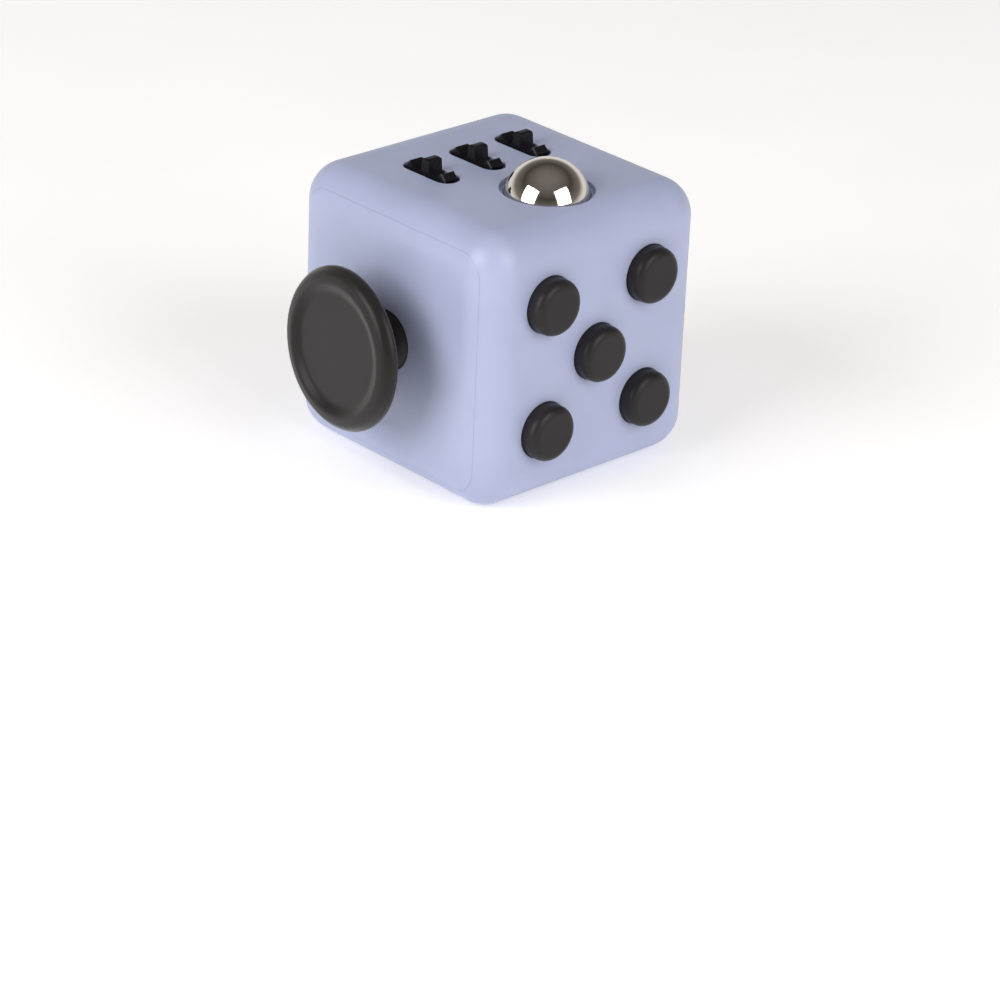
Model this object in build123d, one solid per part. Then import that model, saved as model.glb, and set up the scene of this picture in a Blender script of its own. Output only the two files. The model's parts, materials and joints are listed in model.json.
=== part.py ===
from build123d import *
import math
import os

os.makedirs("parts", exist_ok=True)

# Fidget cube. Millimetres, +Z up, origin at the middle of the bottom face.
# -Y carries the click buttons, -X the joystick, +Z the wheels and ball,
# +X the rocker, +Y the spinning dial and -Z the thumb hollow.

# Case
SIDE = 33.0
EDGE_R = 4.4
WALL = 2.3
HALF = SIDE / 2
MID_Z = HALF
CAVITY = HALF - WALL
RUN = 0.05
SLACK = 0.1
RIM_ROUND = 0.2
HOLE_ROUND = 0.1
REACH_PAST = 1.0
POST = 2.2
BOSS_R = 1.8
BOSS_ROOT = 0.5

# End covers, held by snap tabs
COVER_GAP = 0.02
COVER_THICK = 2.4
COVER_HALF = CAVITY - COVER_GAP
COVER_CORNER_R = 2.7
COVER_IN = HALF - COVER_THICK
TAB_WIDE = 5.0
TAB_THICK = 1.2
TAB_LONG = 3.0
BEAD_R = 0.4

# Screws, one size throughout
SCREW_R = 0.75
SCREW_HEAD_R = 1.4
SCREW_HEAD = 0.9
SCREW_BITE = 1.8
LUG_HOLE_R = SCREW_R + SLACK
SCREW_SLOT_WIDE = 0.4
SCREW_SLOT_DEEP = 0.3

# Click buttons
BUTTON_PITCH = 7.54
BUTTON_R = 3.28
BUTTON_PROUD = 2.0
BUTTON_EDGE_R = 1.0
BUTTON_TRAVEL = 0.9
BUTTON_FLANGE_R = BUTTON_R + 0.5
BUTTON_FLANGE = 0.8
BUTTON_STEM_R = 0.9
DOME_R = 1.9
DOME_RISE = 0.6
DOME_THICK = 0.15
STEM_CLEAR = 0.1
PAD_STUD_R = 1.33
PLATE_THICK = 1.0
PLATE_CORNER_R = 1.0
PLATE_SCREW_STEP = BUTTON_PITCH + 0.5
PLATE_X = 11.0
PLATE_Z = 11.6
BUTTON_SPRING_R = 2.45
BUTTON_SPRING_LONG = 2.15
WIRE_R = 0.18
BUTTON_TURNS = 3
PLATE_FRONT = CAVITY - RUN - BUTTON_FLANGE - BUTTON_SPRING_LONG

# Ball, with its liner, plunger and guide tube
BALL_R = 5.0
BALL_SINK = 1.5
BALL_TRAVEL = 0.8
BALL_Z = SIDE - BALL_SINK
BALL_BORE_R = BALL_R + 0.06
BALL_MOUTH_R = BALL_R + 0.38
BALL_LIP_SINK = 0.5
TUBE_WALL = 0.89
TUBE_R = BALL_BORE_R + TUBE_WALL
TUBE_BEHIND = 0.75
BALL_Y = -(CAVITY - TUBE_BEHIND - TUBE_R)
LINER_R = BALL_R - 0.75
LINER_HOLE_R = 2.6
PLUNGER_FLOOR = BALL_Z - BALL_R - 0.6
PLUNGER_THICK = 1.0
PLUNGER_RIM = 1.6
CAP_FLANGE = 1.0
CAP_PLUG = 0.9
BALL_SPRING_LONG = 2.0
TUBE_LOW = PLUNGER_FLOOR - PLUNGER_THICK - BALL_SPRING_LONG - CAP_PLUG
BALL_SPRING_R = BALL_R - 1.4
BALL_WIRE_R = 0.25

# Roller wheels
WHEEL_PITCH = 6.95
WHEEL_R = 4.4
WHEEL_ROOT_R = 2.85
WHEEL_TEETH = 8
WHEEL_CREST = 1.05
WHEEL_BASE = 1.35
WHEEL_CORNER_R = 0.3
WHEEL_SIDE_ROUND = 0.4
WHEEL_WIDE = 2.0
WHEEL_HUB_R = 1.7
WHEEL_SINK = 2.6
WHEEL_Z = SIDE - WHEEL_SINK
SLOT_WIDE = 3.0
SLOT_LONG = 8.0
SLOT_SKIN = 0.25
SLOT_BEHIND = 2.12
WHEEL_Y = BALL_Y + BALL_MOUTH_R + SLOT_BEHIND + SLOT_LONG / 2
WHEEL_HUB_WIDE = SLOT_WIDE - 4 * RUN
AXLE_R = 0.75
EAR_THICK = 1.2
AXLE_HALF = 1.5 * WHEEL_PITCH + 0.4
BRACKET_THICK = 0.8
BRACKET_LOW = WHEEL_Z - WHEEL_R - 0.6 - BRACKET_THICK
BRACKET_X = AXLE_HALF
BRACKET_FRONT = WHEEL_Y - WHEEL_R - 0.8
BRACKET_REAR = WHEEL_Y + WHEEL_R + 1.8
LUG_X = 6.8
LUG_FRONT = BALL_Y + math.sqrt((TUBE_R + SCREW_HEAD_R + 0.6) ** 2 - LUG_X**2)
LUG_REAR = WHEEL_Y + 4.0
LUG_REAR_X = BRACKET_X + 1.2
COMB_THICK = 0.3
FINGER_WIDE = 1.6
COMB_HALF = WHEEL_PITCH + FINGER_WIDE
COMB_PEG_R = 0.5
COMB_GAP_TURN = 2.5 * 360 / WHEEL_TEETH
COMB_Y = WHEEL_Y + WHEEL_R + 0.2

# Joystick
STICK_BALL_R = 4.15
STICK_BALL_X = -(HALF - 2.4)
STICK_STEM_R = 2.1
STICK_LEAN = 3.8
STICK_LEAN_WAY = 41.5
STICK_CAP_R = 9.4
STICK_RIM_R = 7.6
STICK_DISH_R = 6.5
STICK_FRONT = 9.9
STICK_CAP_DEEP = 4.6
STICK_DISH_DEEP = 0.6
STICK_SOCKET = 1.4
CUP_R = STICK_BALL_R + 0.45
CUP_FRONT = 1.3
CUP_BACK = STICK_BALL_R + 0.75
RETAINER_R = CUP_R + 1.0
RETAINER_FLOOR = 1.0
STICK_SPRING_R = CUP_R - 1.3
STICK_SPRING_LONG = 2.0
RETAINER_LONG = COVER_IN + STICK_BALL_X + CUP_BACK + STICK_SPRING_LONG + RETAINER_FLOOR
LUG_REACH = RETAINER_R + 2.4
LUG_THICK = 1.2

# Rocker
ROCKER_WIDE = 7.6
ROCKER_OPEN_WIDE = 8.0
ROCKER_OPEN_LONG = 14.0
ROCKER_PIVOT_SINK = 3.4
ROCKER_PIVOT_X = HALF - ROCKER_PIVOT_SINK
ROCKER_TILT = 10.0
ROCKER_PIN_R = 0.9
ROCKER_HUB_R = 2.0
ROCKER_TAIL_R = 3.3
ROCKER_HOUSE_X = 8.4
ROCKER_HOUSE_Y = 6.0
ROCKER_HOUSE_Z = 7.6
PISTON_R = 1.4
PISTON_LONG = 2.2
PISTON_TIP_R = 0.9
PISTON_BARREL_R = 2.4
PISTON_SPRING_LONG = 2.0
PISTON_SPRING_R = 1.0
PISTON_WIRE_R = 0.15

# Spinning dial
DIAL_R = 9.0
DIAL_RECESS_R = DIAL_R + 0.2
DIAL_RECESS = 1.2
DIAL_PROUD = 1.0
DIAL_STEM_R = 1.6
DIAL_DIMPLE_R = 2.6
DIAL_DIMPLE_OUT = 5.2
DIAL_BOSS_R = 3.4
DIAL_BOSS = 1.5
WASHER_R = 3.0
WASHER_THICK = 0.5

# Thumb hollow on the bottom
HOLLOW_X = 9.75
HOLLOW_Y = 7.0
HOLLOW_DEEP = 1.8
PAD_X = 10.8
PAD_Y = 8.8
PAD_RISE = 1.6

TURN_TO_MINUS_X = (0, -90, 0)
TURN_TO_PLUS_X = (0, 90, 0)
TURN_TO_MINUS_Y = (90, 0, 0)
TURN_TO_PLUS_Y = (-90, 0, 0)


def save(shape, node):
    """Write one sub-part."""
    shape.label = node
    export_step(shape, f"parts/{node}.step")


def rod(radius, start, end, low, high, way):
    """A cylinder along X, Y or Z from low to high, at the two other coordinates."""
    length = high - low
    middle = (low + high) / 2
    if way == "X":
        return Pos(middle, start, end) * Rot(0, 90, 0) * Cylinder(radius, length)
    if way == "Y":
        return Pos(start, middle, end) * Rot(90, 0, 0) * Cylinder(radius, length)
    return Pos(start, end, middle) * Cylinder(radius, length)


def block(x0, x1, y0, y1, z0, z1):
    """A box between opposite corners."""
    centre = Pos((x0 + x1) / 2, (y0 + y1) / 2, (z0 + z1) / 2)
    return centre * Box(x1 - x0, y1 - y0, z1 - z0)


def coil(radius, wire_r, length, turns):
    """A helical spring on the Z axis from 0 to length."""
    rise = length - 2 * wire_r
    path = Helix(pitch=rise / turns, height=rise, radius=radius)
    section = Plane(origin=path @ 0, z_dir=path % 0) * Circle(wire_r)
    return Pos(0, 0, wire_r) * sweep(section, path=path, is_frenet=True)


def dome(radius, rise, thick):
    """A thin snap dome on the XY plane, bulging to +Z."""
    outer_r = (radius**2 + rise**2) / (2 * rise)
    centre = Pos(0, 0, rise - outer_r)
    shell = centre * (Sphere(outer_r) - Sphere(outer_r - thick))
    return shell & Pos(0, 0, rise / 2) * Cylinder(radius, rise)


def screw_head():
    """A slotted screw head standing on Z=0."""
    head = Pos(0, 0, SCREW_HEAD / 2) * Cylinder(SCREW_HEAD_R, SCREW_HEAD)
    slot = Pos(0, 0, SCREW_HEAD) * Box(2 * SCREW_HEAD_R, SCREW_SLOT_WIDE, 2 * SCREW_SLOT_DEEP)
    return head - slot


def screw(grip):
    """A screw whose head bears on a plate of thickness grip."""
    length = grip + SCREW_BITE
    shank = Pos(0, 0, -length / 2) * Cylinder(SCREW_R, length)
    return screw_head() + shank


def rounded_case():
    """The solid rounded cube that the case and both covers are cut from."""
    cube = Pos(0, 0, MID_Z) * Box(SIDE, SIDE, SIDE)
    return fillet(cube.edges(), EDGE_R)


def cover_block(half, corner_r, x0, x1):
    """A rounded square prism along X."""
    outline = Plane.YZ * RectangleRounded(2 * half, 2 * half, corner_r)
    return Pos(x0, 0, MID_Z) * extrude(outline, x1 - x0)


def button_places():
    """Name and position of each click button on the face."""
    step = BUTTON_PITCH
    return {
        "centre": (0, MID_Z),
        "top_left": (-step, MID_Z + step),
        "top_right": (step, MID_Z + step),
        "bottom_left": (-step, MID_Z - step),
        "bottom_right": (step, MID_Z - step),
    }


SILENT = ("top_left", "bottom_right")


def plate_screw_places():
    """Screws of the button plate, between the buttons."""
    step = PLATE_SCREW_STEP
    return [(-step, MID_Z), (step, MID_Z), (0, MID_Z - step)]


def bracket_screw_places():
    """Screws of the wheel bracket, as X and Y."""
    places = []
    for side in (-1, 1):
        places.append((side * LUG_X, LUG_FRONT))
        places.append((side * LUG_REAR_X, LUG_REAR))
    return places


def cover_screw_places():
    """Screw centres on each cover, as Y and Z."""
    stick = [(-LUG_REACH, MID_Z), (LUG_REACH, MID_Z)]
    rocker_reach = ROCKER_HOUSE_Z + 2.1
    rocker = [(0, MID_Z - rocker_reach), (0, MID_Z + rocker_reach)]
    return stick, rocker


def bead_places():
    """Centre, length direction and offset of each snap bead, for one cover."""
    reach = COVER_HALF
    return [
        ("Y", 0, MID_Z + reach),
        ("Y", 0, MID_Z - reach),
        ("Z", reach, MID_Z),
        ("Z", -reach, MID_Z),
    ]


def snap_beads(radius, x, length):
    """Round beads along the cavity's four walls at one X."""
    beads = []
    for way, y, z in bead_places():
        if way == "Y":
            beads.append(rod(radius, x, z, y - length / 2, y + length / 2, "Y"))
        else:
            beads.append(rod(radius, x, y, z - length / 2, z + length / 2, "Z"))
    return beads


def hollow_cut():
    """The shallow oval thumb hollow: a circular arc swung about a far axis."""
    swing_r = (HOLLOW_X**2 + HOLLOW_DEEP**2) / (2 * HOLLOW_DEEP)
    arc_r = (HOLLOW_Y**2 + HOLLOW_DEEP**2) / (2 * HOLLOW_DEEP)
    below = 0.5
    disc = Plane.YZ * Pos(0, HOLLOW_DEEP - arc_r) * Circle(arc_r)
    keep = Plane.YZ * Pos(0, arc_r - below) * Rectangle(2 * SIDE, 2 * arc_r)
    lens = disc & keep
    swing = Axis((0, 0, HOLLOW_DEEP - swing_r), (0, 1, 0))
    spread = 2 * math.degrees(math.asin(HOLLOW_X / swing_r)) + 8
    return revolve(lens.rotate(swing, -spread / 2), axis=swing, revolution_arc=spread)


def wheel_slot(x):
    """One slot in the top with the round relief its wheel needs."""
    slot = Pos(x, WHEEL_Y) * Rot(0, 0, 90) * SlotOverall(SLOT_LONG, SLOT_WIDE)
    opening = extrude(Pos(0, 0, SIDE - WALL - REACH_PAST) * slot, WALL + 2 * REACH_PAST)
    half = WHEEL_WIDE / 2 + 0.25
    relief = rod(WHEEL_R + 0.15, WHEEL_Y, WHEEL_Z, x - half, x + half, "X")
    below = block(x - half, x + half, WHEEL_Y - SIDE, WHEEL_Y + SIDE, 0, SIDE - SLOT_SKIN)
    return opening + (relief & below)


def ball_hole():
    """Bore, lip and mouth that the ball shows through."""
    bore = rod(BALL_BORE_R, 0, BALL_Y, TUBE_LOW - 1, BALL_Z, "Z")
    seat = Pos(0, BALL_Y, BALL_Z) * Sphere(BALL_BORE_R)
    lip_z = SIDE - BALL_LIP_SINK
    lip_r = math.sqrt(BALL_BORE_R**2 - (lip_z - BALL_Z) ** 2)
    lip = rod(lip_r, 0, BALL_Y, BALL_Z, SIDE, "Z")
    mouth = rod(BALL_MOUTH_R, 0, BALL_Y, lip_z, SIDE + BALL_R, "Z")
    return bore + (seat & block(-SIDE, SIDE, -SIDE, SIDE, 0, lip_z)) + lip + mouth


def case_bosses():
    """Everything that stands inside the case, before any hole is cut."""
    parts = []
    post_mid = CAVITY - POST / 2
    for sy in (-1, 1):
        for sz in (-1, 1):
            post = Box(2 * COVER_IN, POST, POST)
            parts.append(Pos(0, sy * post_mid, MID_Z + sz * post_mid) * post)
    parts.append(block(-PAD_X, PAD_X, -PAD_Y, PAD_Y, WALL - 0.5, WALL + PAD_RISE))
    parts.append(rod(TUBE_R, 0, BALL_Y, TUBE_LOW, SIDE - WALL + 0.5, "Z"))
    for x, y in bracket_screw_places():
        parts.append(rod(BOSS_R, x, y, BRACKET_LOW + BRACKET_THICK, SIDE - WALL + 0.5, "Z"))
    for x, z in plate_screw_places():
        parts.append(rod(BOSS_R, x, z, -CAVITY - 0.5, -PLATE_FRONT, "Y"))
    parts.append(rod(DIAL_BOSS_R, 0, MID_Z, CAVITY - DIAL_BOSS, CAVITY + 0.5, "Y"))
    return parts


def face_rims(body, axis, reach):
    """Edges of the openings that lie in one flat face of the cube."""
    flat = HALF - EDGE_R / 2
    rims = []
    for edge in body.edges().filter_by_position(axis, reach - RUN / 5, reach + RUN / 5):
        box = edge.bounding_box()
        middle = edge.center()
        across = [middle.X, middle.Y, middle.Z - MID_Z]
        inside = max(abs(value) for value in across if abs(abs(value) - HALF) > RUN / 5)
        if inside < flat - EDGE_R / 2 and box.diagonal < 2 * flat:
            rims.append(edge)
    return rims


def main_shell():
    """Four walls of the cube in one piece, open at both X ends."""
    case = rounded_case()
    case -= cover_block(CAVITY, COVER_CORNER_R + COVER_GAP, -HALF - 1, -COVER_IN)
    case -= cover_block(CAVITY, COVER_CORNER_R + COVER_GAP, COVER_IN, HALF + 1)
    case -= block(-COVER_IN, COVER_IN, -CAVITY, CAVITY, MID_Z - CAVITY, MID_Z + CAVITY)
    case = case + case_bosses()
    cuts = [hollow_cut(), ball_hole()]
    for x, z in button_places().values():
        cuts.append(rod(BUTTON_R + RUN, x, z, -HALF - 1, -CAVITY + 0.2, "Y"))
    for k in (-1, 0, 1):
        cuts.append(wheel_slot(k * WHEEL_PITCH))
    cuts.append(rod(AXLE_R, WHEEL_Y, WHEEL_Z, -AXLE_HALF, AXLE_HALF, "X"))
    for x, y in bracket_screw_places():
        top = BRACKET_LOW + BRACKET_THICK + SCREW_BITE
        cuts.append(rod(SCREW_R, x, y, BRACKET_LOW, top, "Z"))
    for x, z in plate_screw_places():
        cuts.append(rod(SCREW_R, x, z, -PLATE_FRONT - SCREW_BITE, -PLATE_FRONT + 1, "Y"))
    cuts.append(rod(DIAL_RECESS_R, 0, MID_Z, HALF - DIAL_RECESS, HALF + 1, "Y"))
    cuts.append(rod(DIAL_STEM_R + RUN, 0, MID_Z, CAVITY - DIAL_BOSS - 1, HALF, "Y"))
    bead_x = COVER_IN - TAB_LONG + BEAD_R
    cuts += snap_beads(BEAD_R + SLACK, bead_x, TAB_WIDE + 0.4)
    cuts += snap_beads(BEAD_R + SLACK, -bead_x, TAB_WIDE + 0.4)
    case -= cuts
    for axis, reach, radius in (
        (Axis.Y, -HALF, HOLE_ROUND),
        (Axis.Y, HALF, RIM_ROUND),
        (Axis.Z, SIDE, HOLE_ROUND),
    ):
        case = fillet(face_rims(case, axis, reach), radius)
    return case


def cover(side):
    """A cover for the -X or +X end: its plate, and four tabs with beads."""
    low, high = sorted((side * COVER_IN, side * (HALF + 1)))
    plate = rounded_case() & cover_block(COVER_HALF, COVER_CORNER_R, low, high)
    x0, x1 = sorted((side * (COVER_IN - TAB_LONG), side * (COVER_IN + 0.2)))
    out, into, half = COVER_HALF, COVER_HALF - TAB_THICK, TAB_WIDE / 2
    plate += block(x0, x1, -half, half, MID_Z + into, MID_Z + out)
    plate += block(x0, x1, -half, half, MID_Z - out, MID_Z - into)
    plate += block(x0, x1, into, out, MID_Z - half, MID_Z + half)
    plate += block(x0, x1, -out, -into, MID_Z - half, MID_Z + half)
    return plate + snap_beads(BEAD_R, side * (COVER_IN - TAB_LONG + BEAD_R), TAB_WIDE)


def glide_cover():
    """The joystick's cover, with the outer half of its ball socket."""
    plate = cover(-1)
    plate -= Pos(STICK_BALL_X, 0, MID_Z) * Sphere(STICK_BALL_R + RUN)
    plate -= rod(STICK_BALL_R + RUN, 0, MID_Z, STICK_BALL_X, -COVER_IN + 1, "X")
    for y, z in cover_screw_places()[0]:
        plate -= rod(SCREW_R, y, z, -COVER_IN - SCREW_BITE, -COVER_IN + 1, "X")
    return fillet(face_rims(plate, Axis.X, -HALF), HOLE_ROUND)


def flip_cover():
    """The rocker's cover, with its oblong opening."""
    plate = cover(1)
    wide, long = ROCKER_OPEN_WIDE / 2, ROCKER_OPEN_LONG / 2
    plate -= block(COVER_IN - 1, HALF + 1, -wide, wide, MID_Z - long, MID_Z + long)
    for y, z in cover_screw_places()[1]:
        plate -= rod(SCREW_R, y, z, COVER_IN - 1, COVER_IN + SCREW_BITE, "X")
    return fillet(face_rims(plate, Axis.X, HALF), RIM_ROUND)


def click_button(x, z):
    """A button with its flange behind the wall and a short stem."""
    back = -CAVITY + RUN + BUTTON_FLANGE
    face = -HALF - BUTTON_PROUD
    tip = -PLATE_FRONT - DOME_RISE - STEM_CLEAR - BUTTON_TRAVEL
    body = rod(BUTTON_R, x, z, face, back, "Y")
    body = fillet(body.edges().group_by(Axis.Y)[0], BUTTON_EDGE_R)
    body += rod(BUTTON_FLANGE_R, x, z, -CAVITY + RUN, back, "Y")
    return body + rod(BUTTON_STEM_R, x, z, back - 0.1, tip, "Y")


def button_spring(x, z):
    """The coil between a button's flange and the plate."""
    front = -CAVITY + RUN + BUTTON_FLANGE
    spring = coil(BUTTON_SPRING_R, WIRE_R, BUTTON_SPRING_LONG, BUTTON_TURNS)
    return Pos(x, front, z) * Rot(*TURN_TO_PLUS_Y) * spring


def button_dome(x, z):
    """A metal snap dome that clicks under one button."""
    place = Pos(x, -PLATE_FRONT, z) * Rot(*TURN_TO_MINUS_Y)
    return place * dome(DOME_R, DOME_RISE, DOME_THICK)


def silent_pad(x, z):
    """A soft stud that stops one button without a click."""
    return rod(PAD_STUD_R, x, z, -PLATE_FRONT - DOME_RISE, -PLATE_FRONT, "Y")


def button_plate():
    """The plate behind the buttons, notched round the ball's tube."""
    y0, y1 = -PLATE_FRONT, -PLATE_FRONT + PLATE_THICK
    plate = block(-PLATE_X, PLATE_X, y0, y1, MID_Z - PLATE_Z, MID_Z + PLATE_Z)
    plate = fillet(plate.edges().filter_by(Axis.Y), PLATE_CORNER_R)
    notch_low = TUBE_LOW - CAP_FLANGE - 0.2
    widest = math.sqrt(TUBE_R**2 - (y1 - BALL_Y) ** 2)
    reach = widest + 0.1
    plate -= block(-reach, reach, y0 - 1, y1 + 1, notch_low, SIDE)
    for x, z in plate_screw_places():
        plate -= rod(LUG_HOLE_R, x, z, y0 - 1, y1 + 1, "Y")
    return plate


def steel_ball():
    """The rolling ball."""
    return Pos(0, BALL_Y, BALL_Z) * Sphere(BALL_R)


def ball_seat_ring():
    """The slippery ring that the ball turns in."""
    ring = rod(LINER_R, 0, BALL_Y, PLUNGER_FLOOR, BALL_Z - 2.7, "Z")
    ring -= rod(LINER_HOLE_R, 0, BALL_Y, PLUNGER_FLOOR - 1, BALL_Z, "Z")
    return ring - Pos(0, BALL_Y, BALL_Z) * Sphere(BALL_R + 0.02)


def ball_plunger():
    """The cup that carries the ring and slides in the tube."""
    low = PLUNGER_FLOOR - PLUNGER_THICK
    cup = rod(BALL_R, 0, BALL_Y, low, PLUNGER_FLOOR + PLUNGER_RIM, "Z")
    cup -= rod(LINER_R + RUN, 0, BALL_Y, PLUNGER_FLOOR, BALL_Z, "Z")
    dome_top = TUBE_LOW + CAP_PLUG + DOME_RISE
    tip = dome_top + BALL_TRAVEL + STEM_CLEAR
    return cup + rod(1.2, 0, BALL_Y, tip, low + 0.1, "Z")


def ball_spring():
    """The coil that lifts the plunger."""
    low = TUBE_LOW + CAP_PLUG
    return Pos(0, BALL_Y, low) * coil(BALL_SPRING_R, BALL_WIRE_R, BALL_SPRING_LONG, 2.5)


def ball_click_dome():
    """The snap dome under the plunger."""
    return Pos(0, BALL_Y, TUBE_LOW + CAP_PLUG) * dome(DOME_R, DOME_RISE, DOME_THICK)


def ball_end_cap():
    """The plug that closes the ball's tube."""
    plug = rod(BALL_BORE_R, 0, BALL_Y, TUBE_LOW, TUBE_LOW + CAP_PLUG, "Z")
    return plug + rod(TUBE_R - 0.2, 0, BALL_Y, TUBE_LOW - CAP_FLANGE, TUBE_LOW, "Z")


def wheel_tooth_outline():
    """The wheel's outline in its own plane, one tooth pointing up."""
    points = []
    for tooth in range(WHEEL_TEETH):
        turn = 2 * math.pi * tooth / WHEEL_TEETH
        for across, radius in (
            (-WHEEL_BASE / 2, WHEEL_ROOT_R),
            (-WHEEL_CREST / 2, WHEEL_R),
            (WHEEL_CREST / 2, WHEEL_R),
            (WHEEL_BASE / 2, WHEEL_ROOT_R),
        ):
            up = math.sqrt(radius**2 - across**2)
            y = across * math.cos(turn) + up * math.sin(turn)
            z = up * math.cos(turn) - across * math.sin(turn)
            points.append((y, z))
    return points


def on_crest(edge):
    """True for an edge that lies on the wheel's crest circle."""
    centre = edge.center()
    return math.hypot(centre.Y, centre.Z) > WHEEL_R - 0.1


def roller_wheel(x):
    """A toothed wheel with thrust hubs, free on the axle."""
    gear = extrude(Plane.YZ * make_face(Polyline(*wheel_tooth_outline(), close=True)), WHEEL_WIDE)
    gear = fillet(gear.edges().filter_by(Axis.X).filter_by(on_crest), WHEEL_CORNER_R)
    disc = rod(WHEEL_R, 0, 0, 0, WHEEL_WIDE, "X")
    gear &= fillet(disc.edges().filter_by(GeomType.CIRCLE), WHEEL_SIDE_ROUND)
    gear = Pos(x - WHEEL_WIDE / 2, WHEEL_Y, WHEEL_Z) * gear
    gear += rod(WHEEL_HUB_R, WHEEL_Y, WHEEL_Z, x - WHEEL_HUB_WIDE / 2, x + WHEEL_HUB_WIDE / 2, "X")
    return gear - rod(AXLE_R + RUN, WHEEL_Y, WHEEL_Z, x - WHEEL_WIDE, x + WHEEL_WIDE, "X")


def roller_axle():
    """The rod that all three wheels turn on."""
    return rod(AXLE_R, WHEEL_Y, WHEEL_Z, -AXLE_HALF, AXLE_HALF, "X")


def ear_places():
    """X of the bracket's ears, between and outside the wheels."""
    return [k * WHEEL_PITCH for k in (-1.45, -0.5, 0.5, 1.45)]


def roller_bracket():
    """The tray that holds the axle up against the top wall."""
    low, high = BRACKET_LOW, BRACKET_LOW + BRACKET_THICK
    tray = block(-BRACKET_X, BRACKET_X, BRACKET_FRONT, BRACKET_REAR, low, high)
    for x, y in bracket_screw_places():
        into = min(abs(x) - BOSS_R, BRACKET_X - BOSS_ROOT)
        x0, x1 = sorted((math.copysign(into, x), x + math.copysign(BOSS_R, x)))
        y1 = max(y + BOSS_R, BRACKET_FRONT + BOSS_ROOT)
        tray += block(x0, x1, y - BOSS_R, y1, low, high)
    for x in ear_places():
        thick = EAR_THICK / 2
        tray += block(x - thick, x + thick, WHEEL_Y - 2, WHEEL_Y + 2, low, SIDE - WALL)
    tray -= rod(AXLE_R, WHEEL_Y, WHEEL_Z, -AXLE_HALF, AXLE_HALF, "X")
    tray -= block(-AXLE_HALF, AXLE_HALF, WHEEL_Y - AXLE_R, WHEEL_Y + AXLE_R, WHEEL_Z, SIDE)
    for x, y in bracket_screw_places():
        tray -= rod(LUG_HOLE_R, x, y, low - 1, high + 1, "Z")
    tray -= rod(TUBE_R + SLACK, 0, BALL_Y, low - 1, high + 1, "Z")
    for x in (-WHEEL_PITCH / 2, WHEEL_PITCH / 2):
        tray += rod(COMB_PEG_R, x, COMB_Y, high - 0.2, high + 0.6, "Z")
    return tray


def wheel_detent_comb():
    """A flat spring whose three fingers rest between the wheels' teeth."""
    low = BRACKET_LOW + BRACKET_THICK
    mid = low + COMB_THICK / 2
    bend = (WHEEL_Y + WHEEL_R + 1.3, mid)
    gap_turn = math.radians(COMB_GAP_TURN)
    tip_r = WHEEL_ROOT_R + 0.5
    tip = (WHEEL_Y + tip_r * math.sin(gap_turn), WHEEL_Z + tip_r * math.cos(gap_turn))
    comb = block(-COMB_HALF, COMB_HALF, COMB_Y - 1.0, bend[0], low, low + COMB_THICK)
    run = math.hypot(tip[0] - bend[0], tip[1] - bend[1])
    slope = math.degrees(math.atan2(tip[1] - bend[1], tip[0] - bend[0]))
    for k in (-1, 0, 1):
        leaf = Pos(0, run / 2, 0) * Box(FINGER_WIDE, run, COMB_THICK)
        comb += Pos(k * WHEEL_PITCH, bend[0], bend[1]) * Rot(slope, 0, 0) * leaf
    for x in (-WHEEL_PITCH / 2, WHEEL_PITCH / 2):
        comb -= rod(COMB_PEG_R, x, COMB_Y, low - 1, low + 1, "Z")
    return comb


def stick_frame():
    """Places a stick drawn along +Z from its ball at its leaning rest."""
    way = math.radians(STICK_LEAN_WAY)
    lean = Axis((0, 0, 0), (0, math.sin(way), -math.cos(way)))
    return lean


def place_stick(shape):
    """Stand a shape drawn along +Z on the -X face and lean it."""
    upright = Rot(*TURN_TO_MINUS_X) * shape
    leant = upright.rotate(stick_frame(), STICK_LEAN)
    return Pos(STICK_BALL_X, 0, MID_Z) * leant


def stick_cap():
    """The thumb disc: rounded rim, dished top and a socket for the stem."""
    front = STICK_FRONT
    back = front - STICK_CAP_DEEP
    floor_z = front - STICK_DISH_DEEP
    socket_z = floor_z - STICK_SOCKET
    corners = [
        (STICK_DISH_R, floor_z, 1.0),
        (STICK_RIM_R, front, 0.9),
        (STICK_CAP_R - 0.6, front - 0.25, 1.0),
        (STICK_CAP_R, front - 1.2, 0.8),
        (STICK_CAP_R - 0.05, front - 1.75, 0.45),
        (STICK_CAP_R - 3.0, front - 3.9, 1.2),
    ]
    outline = Polyline(
        (STICK_STEM_R, socket_z),
        (0, socket_z),
        (0, floor_z),
        *[(across, up) for across, up, _ in corners],
        (STICK_STEM_R + 2.5, back),
        (STICK_STEM_R, back),
        close=True,
    )
    section = make_face(outline)
    for across, up, radius in corners:
        corner = section.vertices().sort_by_distance((across, up))[0]
        section = fillet(corner, radius)
    disc = revolve(Plane.XZ * section, axis=Axis.Z)
    return place_stick(disc)


def stick_ball_stem():
    """The stick's ball and the stem pressed into the cap."""
    top = STICK_FRONT - STICK_DISH_DEEP - STICK_SOCKET
    stem = Pos(0, 0, top / 2) * Cylinder(STICK_STEM_R, top)
    return place_stick(stem + Sphere(STICK_BALL_R))


def stick_friction_cup():
    """The cup that presses on the stick's ball from inside."""
    cup = Pos(0, 0, (CUP_FRONT + CUP_BACK) / 2) * Cylinder(CUP_R, CUP_BACK - CUP_FRONT)
    cup -= Sphere(STICK_BALL_R + 0.02)
    return Pos(STICK_BALL_X, 0, MID_Z) * Rot(*TURN_TO_PLUS_X) * cup


def stick_spring():
    """The coil behind the cup."""
    low = STICK_BALL_X + CUP_BACK
    spring = coil(STICK_SPRING_R, WIRE_R, STICK_SPRING_LONG, 3)
    return Pos(low, 0, MID_Z) * Rot(*TURN_TO_PLUS_X) * spring


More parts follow.
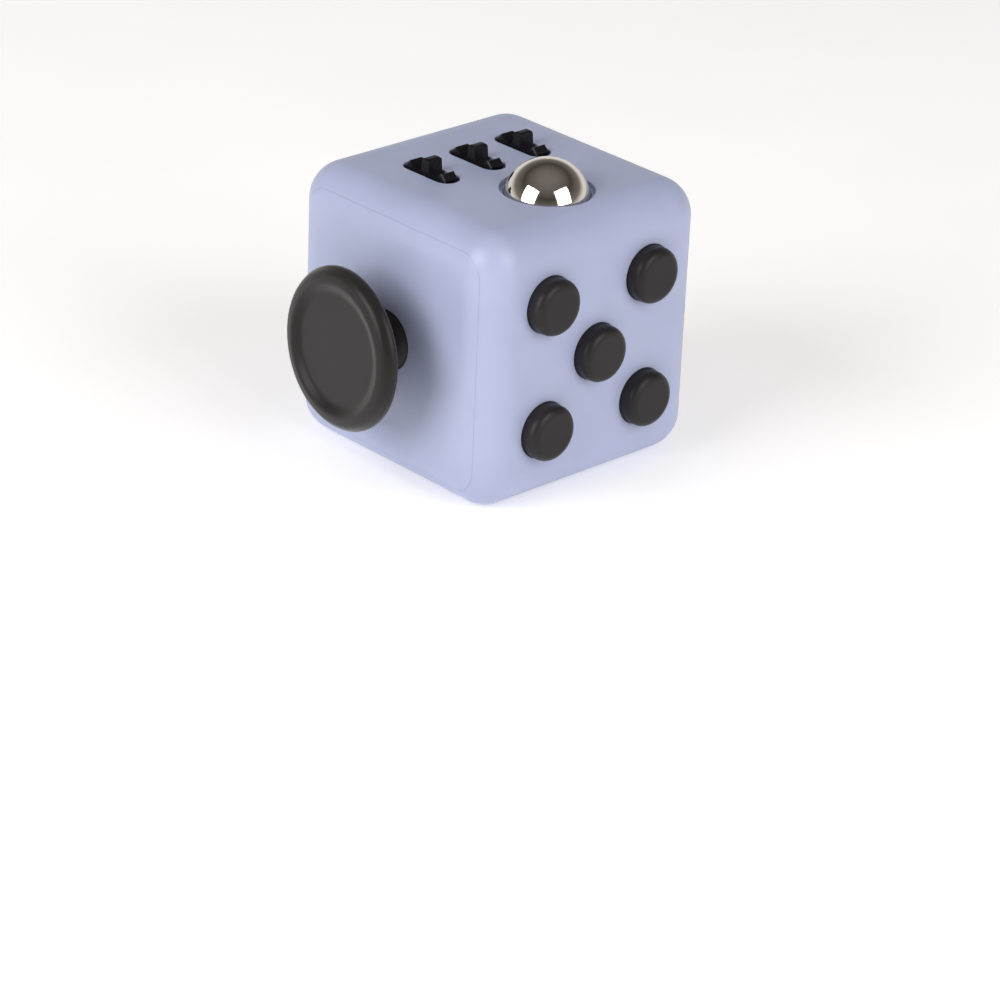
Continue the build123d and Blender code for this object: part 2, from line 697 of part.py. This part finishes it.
def stick_retainer():
    """The can screwed behind the cover that houses the cup and spring."""
    low, high = -COVER_IN, -COVER_IN + RETAINER_LONG
    can = rod(RETAINER_R, 0, MID_Z, low, high, "X")
    reach = LUG_REACH + 2
    can += block(low, low + LUG_THICK, -reach, reach, MID_Z - 2.4, MID_Z + 2.4)
    can -= rod(CUP_R + RUN, 0, MID_Z, low - 1, high - RETAINER_FLOOR, "X")
    for y, z in cover_screw_places()[0]:
        can -= rod(LUG_HOLE_R, y, z, low - 1, low + LUG_THICK + 1, "X")
    return can


def rocker_profile():
    """Half outline of the rocker, outward and along, about its pivot."""
    tip = 6.2
    ridge = ROCKER_PIVOT_SINK + 0.2
    rise = tip * math.tan(math.radians(ROCKER_TILT))
    return [(ridge, 0), (ridge + rise, tip), (0.6, 6.8), (-0.5, 6.0), (-0.5, 1.8)]


def place_rocker(shape):
    """Tip a rocker drawn level to its rest position at the pivot."""
    return Pos(ROCKER_PIVOT_X, 0, MID_Z) * Rot(0, ROCKER_TILT, 0) * shape


def flip_rocker():
    """The two-faced rocker with its hub and detent tail."""
    half = rocker_profile()
    other = [(out, -along) for out, along in reversed(half[1:])]
    face = Plane.XZ * make_face(Polyline(*half, *other, close=True))
    body = Pos(0, ROCKER_WIDE / 2, 0) * extrude(face, ROCKER_WIDE)
    tops = body.edges().filter_by(Axis.Y).group_by(Axis.X)[-1]
    body = fillet(tops, 0.8)
    body += rod(ROCKER_HUB_R, 0, 0, -ROCKER_WIDE / 2, ROCKER_WIDE / 2, "Y")
    tail = rod(ROCKER_TAIL_R, 0, 0, -1.5, 1.5, "Y")
    body += tail & block(-ROCKER_TAIL_R, 0, -2, 2, -1.6, 1.6)
    for sign in (-1, 1):
        turn = math.radians(180 + sign * ROCKER_TILT)
        out = ROCKER_TAIL_R + 0.65
        notch = (out * math.cos(turn), -out * math.sin(turn))
        body -= rod(PISTON_TIP_R, notch[0], notch[1], -2, 2, "Y")
    body -= rod(ROCKER_PIN_R + RUN, 0, 0, -ROCKER_WIDE, ROCKER_WIDE, "Y")
    return place_rocker(body)


def rocker_pin():
    """The pin the rocker tips on."""
    return rod(ROCKER_PIN_R, ROCKER_PIVOT_X, MID_Z, -ROCKER_HOUSE_Y, ROCKER_HOUSE_Y, "Y")


def piston_tip_x():
    """X of the piston's tip, just clear of the tail's ridge."""
    return ROCKER_PIVOT_X - ROCKER_TAIL_R - RUN


def rocker_housing():
    """The box behind the rocker, with the barrel of its detent."""
    high = COVER_IN
    half_y, half_z = ROCKER_HOUSE_Y, ROCKER_HOUSE_Z
    house = block(ROCKER_HOUSE_X, high, -half_y, half_y, MID_Z - half_z, MID_Z + half_z)
    reach = ROCKER_HOUSE_Z + 4.0
    house += block(high - LUG_THICK, high, -2.2, 2.2, MID_Z - reach, MID_Z + reach)
    inner_z = ROCKER_OPEN_LONG / 2
    inner_y = ROCKER_OPEN_WIDE / 2
    house -= block(ROCKER_HOUSE_X + 0.8, high + 1, -inner_y, inner_y, MID_Z - inner_z, MID_Z + inner_z)
    rear = piston_tip_x() - PISTON_LONG - PISTON_SPRING_LONG
    house += rod(PISTON_BARREL_R, 0, MID_Z, rear - 0.6, ROCKER_HOUSE_X + 0.9, "X")
    house -= rod(PISTON_R + RUN, 0, MID_Z, rear, ROCKER_HOUSE_X + 1.0, "X")
    house -= rod(ROCKER_PIN_R, ROCKER_PIVOT_X, MID_Z, -ROCKER_HOUSE_Y - 1, ROCKER_HOUSE_Y + 1, "Y")
    for y, z in cover_screw_places()[1]:
        house -= rod(LUG_HOLE_R, y, z, high - LUG_THICK - 1, high + 1, "X")
    return house


def rocker_detent_plunger():
    """The round-nosed piston that the tail rides over."""
    tip = piston_tip_x()
    rear = tip - PISTON_LONG
    piston = rod(PISTON_R, 0, MID_Z, rear, tip - 1.0, "X")
    piston += rod(PISTON_TIP_R, 0, MID_Z, tip - 1.1, tip - PISTON_TIP_R, "X")
    return piston + Pos(tip - PISTON_TIP_R, 0, MID_Z) * Sphere(PISTON_TIP_R)


def rocker_detent_spring():
    """The coil behind the piston."""
    rear = piston_tip_x() - PISTON_LONG
    low = rear - PISTON_SPRING_LONG
    spring = coil(PISTON_SPRING_R, PISTON_WIRE_R, PISTON_SPRING_LONG, 4)
    return Pos(low, 0, MID_Z) * Rot(*TURN_TO_PLUS_X) * spring


def spin_dial():
    """The turning disc with an off-centre finger dimple and its stem."""
    floor = HALF - DIAL_RECESS
    face = HALF + DIAL_PROUD
    disc = rod(DIAL_R, 0, MID_Z, floor + SLACK, face, "Y")
    disc = fillet(disc.edges().group_by(Axis.Y)[-1], 0.5)
    disc += rod(DIAL_STEM_R, 0, MID_Z, CAVITY - DIAL_BOSS - SLACK, floor + 1, "Y")
    out = DIAL_DIMPLE_OUT / math.sqrt(2)
    deep = 1.0
    ball_r = (DIAL_DIMPLE_R**2 + deep**2) / (2 * deep)
    disc -= Pos(out, face - deep + ball_r, MID_Z + out) * Sphere(ball_r)
    end = CAVITY - DIAL_BOSS - SLACK
    return disc - rod(SCREW_R, 0, MID_Z, end - 1, end + SCREW_BITE, "Y")


def dial_washer():
    """The washer that keeps the dial in its hole."""
    high = CAVITY - DIAL_BOSS - SLACK
    washer = rod(WASHER_R, 0, MID_Z, high - WASHER_THICK, high, "Y")
    return washer - rod(LUG_HOLE_R, 0, MID_Z, 0, CAVITY, "Y")


def dial_screw():
    """The screw up the dial's stem."""
    seat = CAVITY - DIAL_BOSS - SLACK - WASHER_THICK
    return Pos(0, seat, MID_Z) * Rot(*TURN_TO_MINUS_Y) * screw(WASHER_THICK)


def case_screws():
    """The screws of the wheel bracket and the button plate."""
    bodies = []
    for x, y in bracket_screw_places():
        bodies.append(Pos(x, y, BRACKET_LOW) * Rot(180, 0, 0) * screw(BRACKET_THICK))
    for x, z in plate_screw_places():
        seat = -PLATE_FRONT + PLATE_THICK
        bodies.append(Pos(x, seat, z) * Rot(*TURN_TO_PLUS_Y) * screw(PLATE_THICK))
    return Compound(children=bodies)


def cover_screws():
    """The screws that hold the stick's can and the rocker's housing."""
    stick, rocker = cover_screw_places()
    bodies = []
    for y, z in stick:
        seat = -COVER_IN + LUG_THICK
        bodies.append(Pos(seat, y, z) * Rot(*TURN_TO_PLUS_X) * screw(LUG_THICK))
    for y, z in rocker:
        seat = COVER_IN - LUG_THICK
        bodies.append(Pos(seat, y, z) * Rot(*TURN_TO_MINUS_X) * screw(LUG_THICK))
    return Compound(children=bodies)


save(main_shell(), "main_shell")
save(glide_cover(), "glide_cover")
save(flip_cover(), "flip_cover")

for name, (x, z) in button_places().items():
    save(click_button(x, z), f"click_button_{name}")
    save(button_spring(x, z), f"button_spring_{name}")
    if name in SILENT:
        save(silent_pad(x, z), f"silent_pad_{name}")
    else:
        save(button_dome(x, z), f"click_dome_{name}")
save(button_plate(), "button_plate")

save(steel_ball(), "steel_ball")
save(ball_seat_ring(), "ball_seat_ring")
save(ball_plunger(), "ball_plunger")
save(ball_spring(), "ball_spring")
save(ball_click_dome(), "ball_click_dome")
save(ball_end_cap(), "ball_end_cap")

for name, k in (("left", -1), ("middle", 0), ("right", 1)):
    save(roller_wheel(k * WHEEL_PITCH), f"roller_wheel_{name}")
save(roller_axle(), "roller_axle")
save(roller_bracket(), "roller_bracket")
save(wheel_detent_comb(), "wheel_detent_comb")

save(stick_cap(), "stick_cap")
save(stick_ball_stem(), "stick_ball_stem")
save(stick_friction_cup(), "stick_friction_cup")
save(stick_spring(), "stick_spring")
save(stick_retainer(), "stick_retainer")

save(flip_rocker(), "flip_rocker")
save(rocker_pin(), "rocker_pin")
save(rocker_housing(), "rocker_housing")
save(rocker_detent_plunger(), "rocker_detent_plunger")
save(rocker_detent_spring(), "rocker_detent_spring")

save(spin_dial(), "spin_dial")
save(dial_washer(), "dial_washer")
save(dial_screw(), "dial_screw")
save(case_screws(), "case_screws")
save(cover_screws(), "cover_screws")
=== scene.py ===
import json
import math

import bpy
from mathutils import Matrix, Vector


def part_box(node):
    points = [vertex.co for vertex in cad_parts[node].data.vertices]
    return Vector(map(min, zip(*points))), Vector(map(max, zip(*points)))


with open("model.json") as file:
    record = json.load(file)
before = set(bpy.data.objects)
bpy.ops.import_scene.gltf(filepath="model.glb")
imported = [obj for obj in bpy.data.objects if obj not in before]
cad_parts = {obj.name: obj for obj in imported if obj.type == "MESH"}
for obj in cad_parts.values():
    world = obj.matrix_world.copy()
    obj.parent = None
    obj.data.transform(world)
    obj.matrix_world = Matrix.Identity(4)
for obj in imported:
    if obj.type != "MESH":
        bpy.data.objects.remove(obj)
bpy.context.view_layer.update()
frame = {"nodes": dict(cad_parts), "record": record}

bl_info = {
    "name": "Fidget Cube Finishes",
    "version": (1, 0, 0),
    "blender": (4, 5, 0),
    "location": "3D View > Sidebar > Fidget Cube",
    "description": "Gives a fidget cube its moulded plastic, steel and studio stage",
    "category": "Material",
}

MM = 0.001

# Case plastic: a little light passes through its skin
CASE_RELIEF_MM = 0.006
CASE_GLOW = 0.08
CASE_GLOW_MM = 1.2
CASE_GLOW_SPREAD = (0.4, 0.45, 0.6)

# Black fittings
BLACK_SHINE = 0.2
BLACK_CHANGE = 0.12
BUTTON_GRAIN_MM, BUTTON_RELIEF_MM = 0.16, 0.005
DISC_GRAIN_MM, DISC_RELIEF_MM = 0.12, 0.006
DISC_SMOOTHER, DISC_SHEEN = 0.04, 0.15
WHEEL_GRAIN_MM, WHEEL_RELIEF_MM = 0.14, 0.004
WHEEL_SMOOTHER = 0.12

# Inner plastics: material, slot, colour, roughness, grain and relief in mm, change of shade
INNER_PLASTICS = (
    ("inner_plastic", "inner_grey", (0.17, 0.17, 0.18), 0.5, 0.3, 0.01, 0.04),
    ("liner_plastic", "liner_white", (0.74, 0.74, 0.72), 0.35, 0.2, 0.003, 0.04),
    ("pad_rubber", "pad_rubber", (0.045, 0.045, 0.045), 0.75, 0.1, 0.01, 0.15),
)
# Inner metals: material, slot, colour, roughness, stretch of the drawn lines
INNER_METALS = (
    ("spring_wire", "spring_steel", (0.55, 0.55, 0.55), 0.3, (1.0, 1.0, 1.0)),
    ("dome_strip", "dome_steel", (0.60, 0.60, 0.58), 0.25, (8.0, 1.0, 1.0)),
    ("plated_steel", "plain_steel", (0.50, 0.50, 0.51), 0.32, (1.0, 1.0, 8.0)),
)

# Stage: directions in degrees, distances and sides in metres, powers in watts
LEFT_AZIMUTH, LEFT_ELEVATION = -95, 27
FRONT_AZIMUTH, FRONT_ELEVATION = 5, 28
# Fill lights: name, azimuth, elevation, distance, side, power
FILL_LIGHTS = (
    ("overhead", -45, 80, 1.0, 1.2, 1.3),
    ("behind", 160, 35, 1.0, 1.0, 1.6),
)
FLOOR_SIDE = 6.0
FLOOR_GAP_MM = 0.01
FLOOR_GLOW = (1.0, 0.99, 0.98, 1.0)
FLOOR_GLOW_STRENGTH = 0.28
# Room light, by height above a tilted horizon: height, colour
SWEEP_TILT = (-0.14, -0.14, 1.0)
SWEEP_STOPS = (
    (0.0, (0.80, 0.79, 0.76, 1.0)),
    (0.22, (0.20, 0.185, 0.17, 1.0)),
    (0.6, (0.065, 0.056, 0.050, 1.0)),
    (1.0, (0.19, 0.175, 0.165, 1.0)),
)

# Camera: where it stands in mm, and its right, up and forward directions
CAMERA_PLACE_MM = (-289.98, -305.64, 195.29)
CAMERA_RIGHT = (0.73564, -0.67620, 0.03991)
CAMERA_UP = (0.26808, 0.34475, 0.89960)
CAMERA_AHEAD = (0.62207, 0.65108, -0.43489)
CAMERA_SENSOR_MM = 36.0
CAMERA_NEAREST = 0.01

CASE_NODES = ("main_shell", "glide_cover", "flip_cover")
CASE_LOW, CASE_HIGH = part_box("main_shell")
CUBE_SIDE = CASE_HIGH.y - CASE_LOW.y
CUBE_MIDDLE = Vector((0.0, 0.0, CUBE_SIDE / 2))


# Material building blocks


def new_material(name):
    """An empty node material with its Principled shader and its tree."""
    material = bpy.data.materials.new(name)
    material.use_nodes = True
    tree = material.node_tree
    return material, tree, tree.nodes["Principled BSDF"]


def position(tree):
    """The object's own coordinates, which stay with it as it moves."""
    return tree.nodes.new("ShaderNodeTexCoord").outputs["Object"]


def noise(tree, where, scale, detail=2.0, rough=0.5, stretch=None):
    """A noise texture's value; stretch scales the three axes apart."""
    if stretch:
        mapping = tree.nodes.new("ShaderNodeMapping")
        mapping.inputs["Scale"].default_value = stretch
        tree.links.new(where, mapping.inputs["Vector"])
        where = mapping.outputs["Vector"]
    node = tree.nodes.new("ShaderNodeTexNoise")
    node.inputs["Scale"].default_value = scale
    node.inputs["Detail"].default_value = detail
    node.inputs["Roughness"].default_value = rough
    tree.links.new(where, node.inputs["Vector"])
    return node.outputs["Fac"]


def spread(tree, value, low, high):
    """Map a noise value to the range low to high."""
    node = tree.nodes.new("ShaderNodeMapRange")
    node.inputs["From Min"].default_value = 0.3
    node.inputs["From Max"].default_value = 0.7
    node.inputs["To Min"].default_value = low
    node.inputs["To Max"].default_value = high
    tree.links.new(value, node.inputs["Value"])
    return node.outputs["Result"]


def tint(tree, value, colour, change):
    """Vary a colour a little in brightness around its set value."""
    ramp = tree.nodes.new("ShaderNodeValToRGB")
    first, last = ramp.color_ramp.elements
    first.position, last.position = 0.32, 0.68
    first.color = [c * (1 - change) for c in colour[:3]] + [1.0]
    last.color = [min(c * (1 + change), 1.0) for c in colour[:3]] + [1.0]
    tree.links.new(value, ramp.inputs["Fac"])
    return ramp.outputs["Color"]


def bump(tree, shader, heights, distance, strength=1.0):
    """Add the height values up and feed them to the shader as a fine relief."""
    total = heights[0]
    for height in heights[1:]:
        add = tree.nodes.new("ShaderNodeMath")
        add.operation = "ADD"
        tree.links.new(total, add.inputs[0])
        tree.links.new(height, add.inputs[1])
        total = add.outputs["Value"]
    node = tree.nodes.new("ShaderNodeBump")
    node.inputs["Distance"].default_value = distance
    node.inputs["Strength"].default_value = strength
    tree.links.new(total, node.inputs["Height"])
    tree.links.new(node.outputs["Normal"], shader.inputs["Normal"])


def moulded_plastic(name, colour, rough, grain_mm, relief_mm, change=0.04, shine=0.5):
    """Moulded plastic: a fine spark grain over a slow unevenness in the wall."""
    material, tree, shader = new_material(name)
    where = position(tree)
    slow = noise(tree, where, 90.0, detail=3.0)
    grain = noise(tree, where, 1.0 / (grain_mm * MM), detail=3.0, rough=0.6)
    tree.links.new(tint(tree, slow, colour, change), shader.inputs["Base Color"])
    tree.links.new(spread(tree, grain, rough - 0.05, rough + 0.06), shader.inputs["Roughness"])
    bump(tree, shader, [grain], relief_mm * MM)
    shader.inputs["Specular IOR Level"].default_value = shine
    return material, shader


def polished_steel(name, colour, rough):
    """Polished steel with a faint web of hairline scratches."""
    material, tree, shader = new_material(name)
    where = position(tree)
    haze = noise(tree, where, 160.0, detail=4.0)
    hair = noise(tree, where, 900.0, detail=2.0, stretch=(1.0, 12.0, 1.0))
    tree.links.new(tint(tree, haze, colour, 0.03), shader.inputs["Base Color"])
    tree.links.new(spread(tree, hair, rough * 0.6, rough * 1.5), shader.inputs["Roughness"])
    shader.inputs["Metallic"].default_value = 1.0
    return material


def drawn_steel(name, colour, rough, stretch):
    """Plated or drawn steel with fine lines along the way it was worked."""
    material, tree, shader = new_material(name)
    where = position(tree)
    lines = noise(tree, where, 1500.0, detail=3.0, stretch=stretch)
    tree.links.new(tint(tree, lines, colour, 0.1), shader.inputs["Base Color"])
    tree.links.new(spread(tree, lines, rough - 0.08, rough + 0.1), shader.inputs["Roughness"])
    bump(tree, shader, [lines], 0.004 * MM)
    shader.inputs["Metallic"].default_value = 1.0
    return material


def dress(nodes, material):
    """Give CAD nodes a material in every slot they have."""
    for name in nodes:
        mesh = frame["nodes"][name].data
        if not mesh.materials:
            mesh.materials.append(material)
        for index in range(len(mesh.materials)):
            mesh.materials[index] = material


def nodes_in_slot(slot):
    """Names of the CAD nodes whose record entry has this material slot."""
    subparts = frame["record"]["subparts"]
    return [part["node"] for part in subparts if part["material_slot"] == slot]


# What a user may change


class CaseLook(bpy.types.PropertyGroup):
    """The moulded case and its two end covers."""

    colour: bpy.props.FloatVectorProperty(
        name="Case colour",
        description="Colour of the case and covers",
        subtype="COLOR",
        size=3,
        min=0.0,
        max=1.0,
        default=(0.385, 0.425, 0.60),
    )
    roughness: bpy.props.FloatProperty(
        name="Case roughness",
        description="How matt the case is",
        min=0.0,
        max=1.0,
        default=0.40,
        subtype="FACTOR",
    )
    grain: bpy.props.FloatProperty(
        name="Grain size",
        description="Size of the moulded grain in millimetres",
        min=0.01,
        max=2.0,
        default=0.22,
    )


class FittingLook(bpy.types.PropertyGroup):
    """The black buttons, wheels, thumb disc, rocker and dial."""

    button_colour: bpy.props.FloatVectorProperty(
        name="Button colour",
        description="Colour of the buttons, rocker and dial",
        subtype="COLOR",
        size=3,
        min=0.0,
        max=1.0,
        default=(0.019, 0.0165, 0.017),
    )
    disc_colour: bpy.props.FloatVectorProperty(
        name="Thumb disc colour",
        description="Colour of the joystick's thumb disc",
        subtype="COLOR",
        size=3,
        min=0.0,
        max=1.0,
        default=(0.012, 0.010, 0.010),
    )
    wheel_colour: bpy.props.FloatVectorProperty(
        name="Wheel colour",
        description="Colour of the toothed wheels",
        subtype="COLOR",
        size=3,
        min=0.0,
        max=1.0,
        default=(0.010, 0.009, 0.011),
    )
    roughness: bpy.props.FloatProperty(
        name="Fitting roughness",
        description="How matt the black fittings are",
        min=0.0,
        max=1.0,
        default=0.38,
        subtype="FACTOR",
    )


class MetalLook(bpy.types.PropertyGroup):
    """The ball, springs, domes, pins and screws."""

    ball_colour: bpy.props.FloatVectorProperty(
        name="Ball colour",
        description="Reflected colour of the ball",
        subtype="COLOR",
        size=3,
        min=0.0,
        max=1.0,
        default=(0.78, 0.74, 0.69),
    )
    ball_roughness: bpy.props.FloatProperty(
        name="Ball roughness",
        description="How far the ball's polish is from a mirror",
        min=0.0,
        max=1.0,
        default=0.05,
        subtype="FACTOR",
    )


class StageLook(bpy.types.PropertyGroup):
    """The floor, the two softboxes and the lens."""

    floor_colour: bpy.props.FloatVectorProperty(
        name="Floor colour",
        description="Colour of the floor",
        subtype="COLOR",
        size=3,
        min=0.0,
        max=1.0,
        default=(0.93, 0.92, 0.92),
    )
    softbox_side: bpy.props.FloatProperty(
        name="Softbox side",
        description="Side of each square softbox",
        unit="LENGTH",
        min=0.05,
        max=3.0,
        default=0.42,
    )
    softbox_away: bpy.props.FloatProperty(
        name="Softbox distance",
        description="How far each softbox stands from the cube",
        unit="LENGTH",
        min=0.2,
        max=5.0,
        default=0.62,
    )
    left_power: bpy.props.FloatProperty(
        name="Left softbox power",
        description="Power of the softbox on the joystick side",
        unit="POWER",
        min=0.0,
        max=100.0,
        default=2.85,
    )
    front_power: bpy.props.FloatProperty(
        name="Front softbox power",
        description="Power of the softbox on the button side",
        unit="POWER",
        min=0.0,
        max=100.0,
        default=2.25,
    )
    lens: bpy.props.FloatProperty(
        name="Lens",
        description="Focal length of the camera in millimetres",
        min=20.0,
        max=400.0,
        default=144.53,
    )


# Operators


class FIDGET_OT_case(bpy.types.Operator):
    """Finish the case and its two covers in soft matt plastic"""

    bl_idname = "fidget.case"
    bl_label = "Case and covers"

    def execute(self, context):
        look = context.scene.fidget_case
        plastic, shader = moulded_plastic(
            "case_plastic", look.colour, look.roughness, look.grain, CASE_RELIEF_MM
        )
        shader.inputs["Subsurface Weight"].default_value = CASE_GLOW
        shader.inputs["Subsurface Radius"].default_value = CASE_GLOW_SPREAD
        shader.inputs["Subsurface Scale"].default_value = CASE_GLOW_MM * MM
        dress(CASE_NODES, plastic)
        return {"FINISHED"}


class FIDGET_OT_buttons(bpy.types.Operator):
    """Finish the click buttons, rocker, dial and stick stem in satin black"""

    bl_idname = "fidget.buttons"
    bl_label = "Buttons, rocker and dial"

    def execute(self, context):
        look = context.scene.fidget_fitting
        plastic, _ = moulded_plastic(
            "button_plastic",
            look.button_colour,
            look.roughness,
            BUTTON_GRAIN_MM,
            BUTTON_RELIEF_MM,
            change=BLACK_CHANGE,
            shine=BLACK_SHINE,
        )
        dress(nodes_in_slot("button_black"), plastic)
        return {"FINISHED"}


class FIDGET_OT_thumb_disc(bpy.types.Operator):
    """Finish the joystick's thumb disc in soft-touch black"""

    bl_idname = "fidget.thumb_disc"
    bl_label = "Thumb disc"

    def execute(self, context):
        look = context.scene.fidget_fitting
        grip, shader = moulded_plastic(
            "grip_plastic",
            look.disc_colour,
            look.roughness - DISC_SMOOTHER,
            DISC_GRAIN_MM,
            DISC_RELIEF_MM,
            change=BLACK_CHANGE,
            shine=BLACK_SHINE,
        )
        shader.inputs["Sheen Weight"].default_value = DISC_SHEEN
        dress(nodes_in_slot("grip_black"), grip)
        return {"FINISHED"}


class FIDGET_OT_wheels(bpy.types.Operator):
    """Finish the toothed wheels in glossier black"""

    bl_idname = "fidget.wheels"
    bl_label = "Roller wheels"

    def execute(self, context):
        look = context.scene.fidget_fitting
        plastic, _ = moulded_plastic(
            "wheel_plastic",
            look.wheel_colour,
            look.roughness - WHEEL_SMOOTHER,
            WHEEL_GRAIN_MM,
            WHEEL_RELIEF_MM,
            change=BLACK_CHANGE,
            shine=BLACK_SHINE,
        )
        dress(nodes_in_slot("wheel_black"), plastic)
        return {"FINISHED"}


class FIDGET_OT_ball(bpy.types.Operator):
    """Finish the ball in polished steel"""

    bl_idname = "fidget.ball"
    bl_label = "Steel ball"

    def execute(self, context):
        look = context.scene.fidget_metal
        polish = polished_steel("ball_polish", look.ball_colour, look.ball_roughness)
        dress(nodes_in_slot("ball_steel"), polish)
        return {"FINISHED"}


class FIDGET_OT_inside(bpy.types.Operator):
    """Finish the hidden mouldings, pads, springs, domes, pins and screws"""

    bl_idname = "fidget.inside"
    bl_label = "Inner pieces"

    def execute(self, context):
        for name, slot, colour, rough, grain, relief, change in INNER_PLASTICS:
            plastic, _ = moulded_plastic(name, colour, rough, grain, relief, change=change)
            dress(nodes_in_slot(slot), plastic)
        for name, slot, colour, rough, stretch in INNER_METALS:
            dress(nodes_in_slot(slot), drawn_steel(name, colour, rough, stretch))
        return {"FINISHED"}


def context_object():
    """The object that the last primitive operator made."""
    return bpy.context.view_layer.objects.active


def way(azimuth, elevation):
    """Unit direction at an azimuth from -Y towards +X, and an elevation, in degrees."""
    a, e = math.radians(azimuth), math.radians(elevation)
    return Vector((math.sin(a) * math.cos(e), -math.cos(a) * math.cos(e), math.sin(e)))


def softbox(name, azimuth, elevation, away, side, power, seen=True):
    """A square area light that faces the cube's middle; glossy pieces mirror it if seen."""
    data = bpy.data.lights.new(name, "AREA")
    data.shape = "SQUARE"
    data.size = side
    data.energy = power
    light = bpy.data.objects.new(name, data)
    bpy.context.scene.collection.objects.link(light)
    light.location = CUBE_MIDDLE + away * way(azimuth, elevation)
    light.rotation_euler = (CUBE_MIDDLE - light.location).to_track_quat("-Z", "Y").to_euler()
    light.visible_glossy = seen


class FIDGET_OT_stage(bpy.types.Operator):
    """Set the floor, the studio light and the camera"""

    bl_idname = "fidget.stage"
    bl_label = "Stage"

    def execute(self, context):
        look = context.scene.fidget_stage
        self.lay_floor(look)
        away, side = look.softbox_away, look.softbox_side
        softbox("softbox_left", LEFT_AZIMUTH, LEFT_ELEVATION, away, side, look.left_power)
        softbox("softbox_front", FRONT_AZIMUTH, FRONT_ELEVATION, away, side, look.front_power)
        for name, azimuth, elevation, distance, width, power in FILL_LIGHTS:
            softbox(name, azimuth, elevation, distance, width, power, seen=False)
        self.light_room()
        self.place_camera(look)
        return {"FINISHED"}

    def lay_floor(self, look):
        """A wide plain floor, a hair under the cube."""
        bpy.ops.mesh.primitive_plane_add(size=FLOOR_SIDE, location=(0, 0, -FLOOR_GAP_MM * MM))
        floor = context_object()
        floor.name = "floor"
        material, tree, shader = new_material("floor_paper")
        where = position(tree)
        fibre = noise(tree, where, 40.0, detail=4.0)
        tree.links.new(tint(tree, fibre, look.floor_colour, 0.01), shader.inputs["Base Color"])
        shader.inputs["Roughness"].default_value = 0.9
        shader.inputs["Specular IOR Level"].default_value = 0.2
        shader.inputs["Emission Color"].default_value = FLOOR_GLOW
        shader.inputs["Emission Strength"].default_value = FLOOR_GLOW_STRENGTH
        floor.data.materials.append(material)

    def light_room(self):
        """A dim room with a pale sweep that rises above the horizon behind the cube."""
        world = bpy.data.worlds.new("studio")
        world.use_nodes = True
        tree = world.node_tree
        lean = tree.nodes.new("ShaderNodeVectorMath")
        lean.operation = "DOT_PRODUCT"
        lean.inputs[1].default_value = SWEEP_TILT
        tree.links.new(tree.nodes.new("ShaderNodeTexCoord").outputs["Generated"], lean.inputs[0])
        ramp = tree.nodes.new("ShaderNodeValToRGB")
        stops = ramp.color_ramp.elements
        for index, (height, colour) in enumerate(SWEEP_STOPS[:-1]):
            stop = stops.new(height) if index else stops[0]
            stop.position, stop.color = height, colour
        stops[-1].position, stops[-1].color = SWEEP_STOPS[-1]
        tree.links.new(lean.outputs["Value"], ramp.inputs["Fac"])
        background = tree.nodes["Background"]
        tree.links.new(ramp.outputs["Color"], background.inputs["Color"])
        background.inputs["Strength"].default_value = 1.0
        bpy.context.scene.world = world
        bpy.context.scene.view_settings.view_transform = "Standard"

    def place_camera(self, look):
        """The camera at a three-quarter view from above, rolled very slightly."""
        data = bpy.data.cameras.new("camera")
        data.lens = look.lens
        data.sensor_width = CAMERA_SENSOR_MM
        data.clip_start = CAMERA_NEAREST
        camera = bpy.data.objects.new("camera", data)
        bpy.context.scene.collection.objects.link(camera)
        back = -Vector(CAMERA_AHEAD)
        turn = Matrix((CAMERA_RIGHT, CAMERA_UP, back)).transposed().to_4x4()
        camera.matrix_world = Matrix.Translation(Vector(CAMERA_PLACE_MM) * MM) @ turn
        bpy.context.scene.camera = camera


class FIDGET_PT_panel(bpy.types.Panel):
    """Lists every step that dresses the cube"""

    bl_label = "Fidget Cube"
    bl_idname = "FIDGET_PT_panel"
    bl_space_type = "VIEW_3D"
    bl_region_type = "UI"
    bl_category = "Fidget Cube"

    def draw(self, context):
        for operator in OPERATORS:
            self.layout.operator(operator.bl_idname)


LOOKS = {
    "fidget_case": CaseLook,
    "fidget_fitting": FittingLook,
    "fidget_metal": MetalLook,
    "fidget_stage": StageLook,
}
OPERATORS = (
    FIDGET_OT_case,
    FIDGET_OT_buttons,
    FIDGET_OT_thumb_disc,
    FIDGET_OT_wheels,
    FIDGET_OT_ball,
    FIDGET_OT_inside,
    FIDGET_OT_stage,
)


def register():
    for look in LOOKS.values():
        bpy.utils.register_class(look)
    for operator in OPERATORS:
        bpy.utils.register_class(operator)
    bpy.utils.register_class(FIDGET_PT_panel)
    for name, look in LOOKS.items():
        setattr(bpy.types.Scene, name, bpy.props.PointerProperty(type=look))


def unregister():
    for name in LOOKS:
        delattr(bpy.types.Scene, name)
    bpy.utils.unregister_class(FIDGET_PT_panel)
    for operator in reversed(OPERATORS):
        bpy.utils.unregister_class(operator)
    for look in reversed(list(LOOKS.values())):
        bpy.utils.unregister_class(look)


def main():
    register()
    bpy.ops.fidget.case()
    bpy.ops.fidget.buttons()
    bpy.ops.fidget.thumb_disc()
    bpy.ops.fidget.wheels()
    bpy.ops.fidget.ball()
    bpy.ops.fidget.inside()
    bpy.ops.fidget.stage()


if __name__ == "__main__":
    main()
